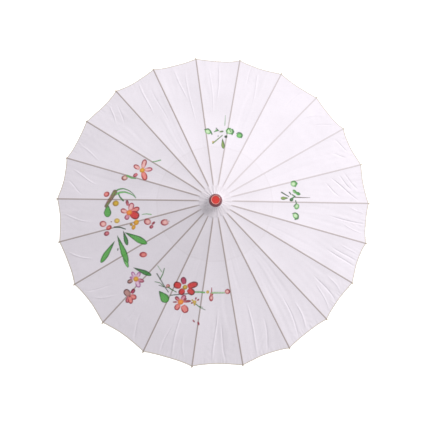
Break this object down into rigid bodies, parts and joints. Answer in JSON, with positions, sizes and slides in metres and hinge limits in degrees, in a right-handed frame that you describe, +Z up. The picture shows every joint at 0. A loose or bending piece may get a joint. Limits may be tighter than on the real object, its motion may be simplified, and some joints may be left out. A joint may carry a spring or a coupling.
{
  "type": "oil paper umbrella",
  "caption": "Folding East Asian hand parasol, shown open: white silk canopy with painted blossom on bamboo ribs, wooden shaft, sliding runner and red top cap.",
  "frame": {"origin": "centre of the flat lower end of the shaft, on the end cap's face", "axes": "+Z runs up the shaft to the top cap; +Y is the side of the canopy at the top of the reference view and +X its right side, with the main painted sprays towards -X and -Y"},
  "size_m": [0.8406, 0.8348, 0.555],
  "materials": {
    "bamboo": "split bamboo, satin, pale",
    "turned_wood": "turned and varnished wood",
    "shaft_wood": "round wooden stick, varnished",
    "silk": "thin white satin with a lavender cast, painted with plum blossom sprays",
    "thread": "twisted cotton thread",
    "red_plastic": "moulded red plastic",
    "steel": "plain steel wire and strip"
  },
  "bodies": {
    "shaft": {"shaft": "shaft_wood", "end_cap": "red_plastic", "top_notch": "turned_wood", "notch_pin": "steel", "notch_thread": "thread", "joint_thread": "thread", "catch_pin": "steel", "canopy": "silk", "head_collar": "silk", "collar_tie": "thread", "top_cap": "red_plastic"},
    "spring_catch": {"spring_catch": "steel"},
    "runner": {"runner": "turned_wood", "runner_thread": "thread"},
    "rib_01": {"rib_01": "bamboo"},
    "stretcher_01": {"stretcher_01": "bamboo"},
    "rib_02": {"rib_02": "bamboo"},
    "stretcher_02": {"stretcher_02": "bamboo"},
    "rib_03": {"rib_03": "bamboo"},
    "stretcher_03": {"stretcher_03": "bamboo"},
    "rib_04": {"rib_04": "bamboo"},
    "stretcher_04": {"stretcher_04": "bamboo"},
    "rib_05": {"rib_05": "bamboo"},
    "stretcher_05": {"stretcher_05": "bamboo"},
    "rib_06": {"rib_06": "bamboo"},
    "stretcher_06": {"stretcher_06": "bamboo"},
    "rib_07": {"rib_07": "bamboo"},
    "stretcher_07": {"stretcher_07": "bamboo"},
    "rib_08": {"rib_08": "bamboo"},
    "stretcher_08": {"stretcher_08": "bamboo"},
    "rib_09": {"rib_09": "bamboo"},
    "stretcher_09": {"stretcher_09": "bamboo"},
    "rib_10": {"rib_10": "bamboo"},
    "stretcher_10": {"stretcher_10": "bamboo"},
    "rib_11": {"rib_11": "bamboo"},
    "stretcher_11": {"stretcher_11": "bamboo"},
    "rib_12": {"rib_12": "bamboo"},
    "stretcher_12": {"stretcher_12": "bamboo"},
    "rib_13": {"rib_13": "bamboo"},
    "stretcher_13": {"stretcher_13": "bamboo"},
    "rib_14": {"rib_14": "bamboo"},
    "stretcher_14": {"stretcher_14": "bamboo"},
    "rib_15": {"rib_15": "bamboo"},
    "stretcher_15": {"stretcher_15": "bamboo"},
    "rib_16": {"rib_16": "bamboo"},
    "stretcher_16": {"stretcher_16": "bamboo"},
    "rib_17": {"rib_17": "bamboo"},
    "stretcher_17": {"stretcher_17": "bamboo"},
    "rib_18": {"rib_18": "bamboo"},
    "stretcher_18": {"stretcher_18": "bamboo"},
    "rib_19": {"rib_19": "bamboo"},
    "stretcher_19": {"stretcher_19": "bamboo"},
    "rib_20": {"rib_20": "bamboo"},
    "stretcher_20": {"stretcher_20": "bamboo"},
    "rib_21": {"rib_21": "bamboo"},
    "stretcher_21": {"stretcher_21": "bamboo"},
    "rib_22": {"rib_22": "bamboo"},
    "stretcher_22": {"stretcher_22": "bamboo"}
  },
  "joints": [
    {"name": "canopy_fold", "type": "hinge", "parent": "shaft", "child": "rib_01", "pos_m": [-0.00164, 0.0139, 0.53], "axis": [-0.9931, -0.1174, 0], "range_deg": [0, 66.6], "deforming": ["canopy", "head_collar", "joint_thread", "spring_catch"]},
    {"name": "rib_fold_02", "type": "hinge", "parent": "shaft", "child": "rib_02", "pos_m": [-0.00557, 0.01285, 0.53], "axis": [-0.9176, -0.3976, 0], "range_deg": [0, 66.6]},
    {"name": "rib_fold_03", "type": "hinge", "parent": "shaft", "child": "rib_03", "pos_m": [-0.00896, 0.01076, 0.53], "axis": [-0.7686, -0.6397, 0], "range_deg": [0, 66.6]},
    {"name": "rib_fold_04", "type": "hinge", "parent": "shaft", "child": "rib_04", "pos_m": [-0.01157, 0.00789, 0.53], "axis": [-0.5636, -0.8261, 0], "range_deg": [0, 66.6]},
    {"name": "rib_fold_05", "type": "hinge", "parent": "shaft", "child": "rib_05", "pos_m": [-0.01326, 0.00449, 0.53], "axis": [-0.3205, -0.9472, 0], "range_deg": [0, 66.6]},
    {"name": "rib_fold_06", "type": "hinge", "parent": "shaft", "child": "rib_06", "pos_m": [-0.01398, 0.00077, 0.53], "axis": [-0.0548, -0.9985, 0], "range_deg": [0, 66.6]},
    {"name": "rib_fold_07", "type": "hinge", "parent": "shaft", "child": "rib_07", "pos_m": [-0.01366, -0.00308, 0.53], "axis": [0.2197, -0.9756, 0], "range_deg": [0, 66.6]},
    {"name": "rib_fold_08", "type": "hinge", "parent": "shaft", "child": "rib_08", "pos_m": [-0.01223, -0.0068, 0.53], "axis": [0.486, -0.874, 0], "range_deg": [0, 66.6]},
    {"name": "rib_fold_09", "type": "hinge", "parent": "shaft", "child": "rib_09", "pos_m": [-0.0097, -0.0101, 0.53], "axis": [0.7214, -0.6925, 0], "range_deg": [0, 66.6]},
    {"name": "rib_fold_10", "type": "hinge", "parent": "shaft", "child": "rib_10", "pos_m": [-0.00615, -0.01257, 0.53], "axis": [0.8982, -0.4396, 0], "range_deg": [0, 66.6]},
    {"name": "rib_fold_11", "type": "hinge", "parent": "shaft", "child": "rib_11", "pos_m": [-0.00193, -0.01387, 0.53], "axis": [0.9905, -0.1379, 0], "range_deg": [0, 66.6]},
    {"name": "rib_fold_12", "type": "hinge", "parent": "shaft", "child": "rib_12", "pos_m": [0.00249, -0.01378, 0.53], "axis": [0.9841, 0.1779, 0], "range_deg": [0, 66.6]},
    {"name": "rib_fold_13", "type": "hinge", "parent": "shaft", "child": "rib_13", "pos_m": [0.00658, -0.01236, 0.53], "axis": [0.8828, 0.4698, 0], "range_deg": [0, 66.6]},
    {"name": "rib_fold_14", "type": "hinge", "parent": "shaft", "child": "rib_14", "pos_m": [0.00991, -0.00988, 0.53], "axis": [0.7061, 0.7081, 0], "range_deg": [0, 66.6]},
    {"name": "rib_fold_15", "type": "hinge", "parent": "shaft", "child": "rib_15", "pos_m": [0.01228, -0.00673, 0.53], "axis": [0.4803, 0.8771, 0], "range_deg": [0, 66.6]},
    {"name": "rib_fold_16", "type": "hinge", "parent": "shaft", "child": "rib_16", "pos_m": [0.01363, -0.00321, 0.53], "axis": [0.2294, 0.9733, 0], "range_deg": [0, 66.6]},
    {"name": "rib_fold_17", "type": "hinge", "parent": "shaft", "child": "rib_17", "pos_m": [0.01399, 0.00041, 0.53], "axis": [-0.0294, 0.9996, 0], "range_deg": [0, 66.6]},
    {"name": "rib_fold_18", "type": "hinge", "parent": "shaft", "child": "rib_18", "pos_m": [0.01342, 0.00398, 0.53], "axis": [-0.2843, 0.9587, 0], "range_deg": [0, 66.6]},
    {"name": "rib_fold_19", "type": "hinge", "parent": "shaft", "child": "rib_19", "pos_m": [0.01192, 0.00734, 0.53], "axis": [-0.524, 0.8517, 0], "range_deg": [0, 66.6]},
    {"name": "rib_fold_20", "type": "hinge", "parent": "shaft", "child": "rib_20", "pos_m": [0.00951, 0.01027, 0.53], "axis": [-0.7335, 0.6796, 0], "range_deg": [0, 66.6]},
    {"name": "rib_fold_21", "type": "hinge", "parent": "shaft", "child": "rib_21", "pos_m": [0.00628, 0.01251, 0.53], "axis": [-0.8937, 0.4487, 0], "range_deg": [0, 66.6]},
    {"name": "rib_fold_22", "type": "hinge", "parent": "shaft", "child": "rib_22", "pos_m": [0.00244, 0.01379, 0.53], "axis": [-0.9847, 0.1745, 0], "range_deg": [0, 66.6]},
    {"name": "stretcher_fold_01", "type": "hinge", "parent": "rib_01", "child": "stretcher_01", "pos_m": [-0.01714, 0.14496, 0.48965], "axis": [-0.9931, -0.1174, 0], "range_deg": [-133.2, 0]},
    {"name": "stretcher_fold_02", "type": "hinge", "parent": "rib_02", "child": "stretcher_02", "pos_m": [-0.05804, 0.13394, 0.48965], "axis": [-0.9176, -0.3976, 0], "range_deg": [-133.2, 0]},
    {"name": "stretcher_fold_03", "type": "hinge", "parent": "rib_03", "child": "stretcher_03", "pos_m": [-0.09338, 0.11219, 0.48965], "axis": [-0.7686, -0.6397, 0], "range_deg": [-133.2, 0]},
    {"name": "stretcher_fold_04", "type": "hinge", "parent": "rib_04", "child": "stretcher_04", "pos_m": [-0.12058, 0.08227, 0.48965], "axis": [-0.5636, -0.8261, 0], "range_deg": [-133.2, 0]},
    {"name": "stretcher_fold_05", "type": "hinge", "parent": "rib_05", "child": "stretcher_05", "pos_m": [-0.13827, 0.04678, 0.48965], "axis": [-0.3205, -0.9472, 0], "range_deg": [-133.2, 0]},
    {"name": "stretcher_fold_06", "type": "hinge", "parent": "rib_06", "child": "stretcher_06", "pos_m": [-0.14575, 0.00799, 0.48965], "axis": [-0.0548, -0.9985, 0], "range_deg": [-133.2, 0]},
    {"name": "stretcher_fold_07", "type": "hinge", "parent": "rib_07", "child": "stretcher_07", "pos_m": [-0.14241, -0.03206, 0.48965], "axis": [0.2197, -0.9756, 0], "range_deg": [-133.2, 0]},
    {"name": "stretcher_fold_08", "type": "hinge", "parent": "rib_08", "child": "stretcher_08", "pos_m": [-0.12757, -0.07094, 0.48965], "axis": [0.486, -0.874, 0], "range_deg": [-133.2, 0]},
    {"name": "stretcher_fold_09", "type": "hinge", "parent": "rib_09", "child": "stretcher_09", "pos_m": [-0.10108, -0.10531, 0.48965], "axis": [0.7214, -0.6925, 0], "range_deg": [-133.2, 0]},
    {"name": "stretcher_fold_10", "type": "hinge", "parent": "rib_10", "child": "stretcher_10", "pos_m": [-0.06416, -0.13111, 0.48965], "axis": [0.8982, -0.4396, 0], "range_deg": [-133.2, 0]},
    {"name": "stretcher_fold_11", "type": "hinge", "parent": "rib_11", "child": "stretcher_11", "pos_m": [-0.02012, -0.14458, 0.48965], "axis": [0.9905, -0.1379, 0], "range_deg": [-133.2, 0]},
    {"name": "stretcher_fold_12", "type": "hinge", "parent": "rib_12", "child": "stretcher_12", "pos_m": [0.02596, -0.14364, 0.48965], "axis": [0.9841, 0.1779, 0], "range_deg": [-133.2, 0]},
    {"name": "stretcher_fold_13", "type": "hinge", "parent": "rib_13", "child": "stretcher_13", "pos_m": [0.06857, -0.12886, 0.48965], "axis": [0.8828, 0.4698, 0], "range_deg": [-133.2, 0]},
    {"name": "stretcher_fold_14", "type": "hinge", "parent": "rib_14", "child": "stretcher_14", "pos_m": [0.10336, -0.10307, 0.48965], "axis": [0.7061, 0.7081, 0], "range_deg": [-133.2, 0]},
    {"name": "stretcher_fold_15", "type": "hinge", "parent": "rib_15", "child": "stretcher_15", "pos_m": [0.12803, -0.07011, 0.48965], "axis": [0.4803, 0.8771, 0], "range_deg": [-133.2, 0]},
    {"name": "stretcher_fold_16", "type": "hinge", "parent": "rib_16", "child": "stretcher_16", "pos_m": [0.14208, -0.03349, 0.48965], "axis": [0.2294, 0.9733, 0], "range_deg": [-133.2, 0]},
    {"name": "stretcher_fold_17", "type": "hinge", "parent": "rib_17", "child": "stretcher_17", "pos_m": [0.14591, 0.00429, 0.48965], "axis": [-0.0294, 0.9996, 0], "range_deg": [-133.2, 0]},
    {"name": "stretcher_fold_18", "type": "hinge", "parent": "rib_18", "child": "stretcher_18", "pos_m": [0.13995, 0.0415, 0.48965], "axis": [-0.2843, 0.9587, 0], "range_deg": [-133.2, 0]},
    {"name": "stretcher_fold_19", "type": "hinge", "parent": "rib_19", "child": "stretcher_19", "pos_m": [0.12433, 0.07648, 0.48965], "axis": [-0.524, 0.8517, 0], "range_deg": [-133.2, 0]},
    {"name": "stretcher_fold_20", "type": "hinge", "parent": "rib_20", "child": "stretcher_20", "pos_m": [0.09921, 0.10708, 0.48965], "axis": [-0.7335, 0.6796, 0], "range_deg": [-133.2, 0]},
    {"name": "stretcher_fold_21", "type": "hinge", "parent": "rib_21", "child": "stretcher_21", "pos_m": [0.06549, 0.13045, 0.48965], "axis": [-0.8937, 0.4487, 0], "range_deg": [-133.2, 0]},
    {"name": "stretcher_fold_22", "type": "hinge", "parent": "rib_22", "child": "stretcher_22", "pos_m": [0.02548, 0.14373, 0.48965], "axis": [-0.9847, 0.1745, 0], "range_deg": [-133.2, 0]},
    {"name": "runner_travel", "type": "hinge", "parent": "stretcher_01", "child": "runner", "pos_m": [-0.00164, 0.0139, 0.44931], "axis": [-0.9931, -0.1174, 0], "range_deg": [0, 66.6]},
    {"name": "catch_press", "type": "hinge", "parent": "shaft", "child": "spring_catch", "pos_m": [0.0027, 0, 0.35201], "axis": [0, -1, 0], "range_deg": [0, 5.5], "stiffness_Nm_per_rad": 0.6, "springref_deg": -2.86}
  ],
  "couplings": [
    {"joint": "rib_fold_02", "follows": "canopy_fold", "ratio": 1},
    {"joint": "rib_fold_03", "follows": "canopy_fold", "ratio": 1},
    {"joint": "rib_fold_04", "follows": "canopy_fold", "ratio": 1},
    {"joint": "rib_fold_05", "follows": "canopy_fold", "ratio": 1},
    {"joint": "rib_fold_06", "follows": "canopy_fold", "ratio": 1},
    {"joint": "rib_fold_07", "follows": "canopy_fold", "ratio": 1},
    {"joint": "rib_fold_08", "follows": "canopy_fold", "ratio": 1},
    {"joint": "rib_fold_09", "follows": "canopy_fold", "ratio": 1},
    {"joint": "rib_fold_10", "follows": "canopy_fold", "ratio": 1},
    {"joint": "rib_fold_11", "follows": "canopy_fold", "ratio": 1},
    {"joint": "rib_fold_12", "follows": "canopy_fold", "ratio": 1},
    {"joint": "rib_fold_13", "follows": "canopy_fold", "ratio": 1},
    {"joint": "rib_fold_14", "follows": "canopy_fold", "ratio": 1},
    {"joint": "rib_fold_15", "follows": "canopy_fold", "ratio": 1},
    {"joint": "rib_fold_16", "follows": "canopy_fold", "ratio": 1},
    {"joint": "rib_fold_17", "follows": "canopy_fold", "ratio": 1},
    {"joint": "rib_fold_18", "follows": "canopy_fold", "ratio": 1},
    {"joint": "rib_fold_19", "follows": "canopy_fold", "ratio": 1},
    {"joint": "rib_fold_20", "follows": "canopy_fold", "ratio": 1},
    {"joint": "rib_fold_21", "follows": "canopy_fold", "ratio": 1},
    {"joint": "rib_fold_22", "follows": "canopy_fold", "ratio": 1},
    {"joint": "stretcher_fold_01", "follows": "canopy_fold", "ratio": -2},
    {"joint": "stretcher_fold_02", "follows": "canopy_fold", "ratio": -2},
    {"joint": "stretcher_fold_03", "follows": "canopy_fold", "ratio": -2},
    {"joint": "stretcher_fold_04", "follows": "canopy_fold", "ratio": -2},
    {"joint": "stretcher_fold_05", "follows": "canopy_fold", "ratio": -2},
    {"joint": "stretcher_fold_06", "follows": "canopy_fold", "ratio": -2},
    {"joint": "stretcher_fold_07", "follows": "canopy_fold", "ratio": -2},
    {"joint": "stretcher_fold_08", "follows": "canopy_fold", "ratio": -2},
    {"joint": "stretcher_fold_09", "follows": "canopy_fold", "ratio": -2},
    {"joint": "stretcher_fold_10", "follows": "canopy_fold", "ratio": -2},
    {"joint": "stretcher_fold_11", "follows": "canopy_fold", "ratio": -2},
    {"joint": "stretcher_fold_12", "follows": "canopy_fold", "ratio": -2},
    {"joint": "stretcher_fold_13", "follows": "canopy_fold", "ratio": -2},
    {"joint": "stretcher_fold_14", "follows": "canopy_fold", "ratio": -2},
    {"joint": "stretcher_fold_15", "follows": "canopy_fold", "ratio": -2},
    {"joint": "stretcher_fold_16", "follows": "canopy_fold", "ratio": -2},
    {"joint": "stretcher_fold_17", "follows": "canopy_fold", "ratio": -2},
    {"joint": "stretcher_fold_18", "follows": "canopy_fold", "ratio": -2},
    {"joint": "stretcher_fold_19", "follows": "canopy_fold", "ratio": -2},
    {"joint": "stretcher_fold_20", "follows": "canopy_fold", "ratio": -2},
    {"joint": "stretcher_fold_21", "follows": "canopy_fold", "ratio": -2},
    {"joint": "stretcher_fold_22", "follows": "canopy_fold", "ratio": -2},
    {"joint": "runner_travel", "follows": "canopy_fold", "ratio": 1}
  ]
}
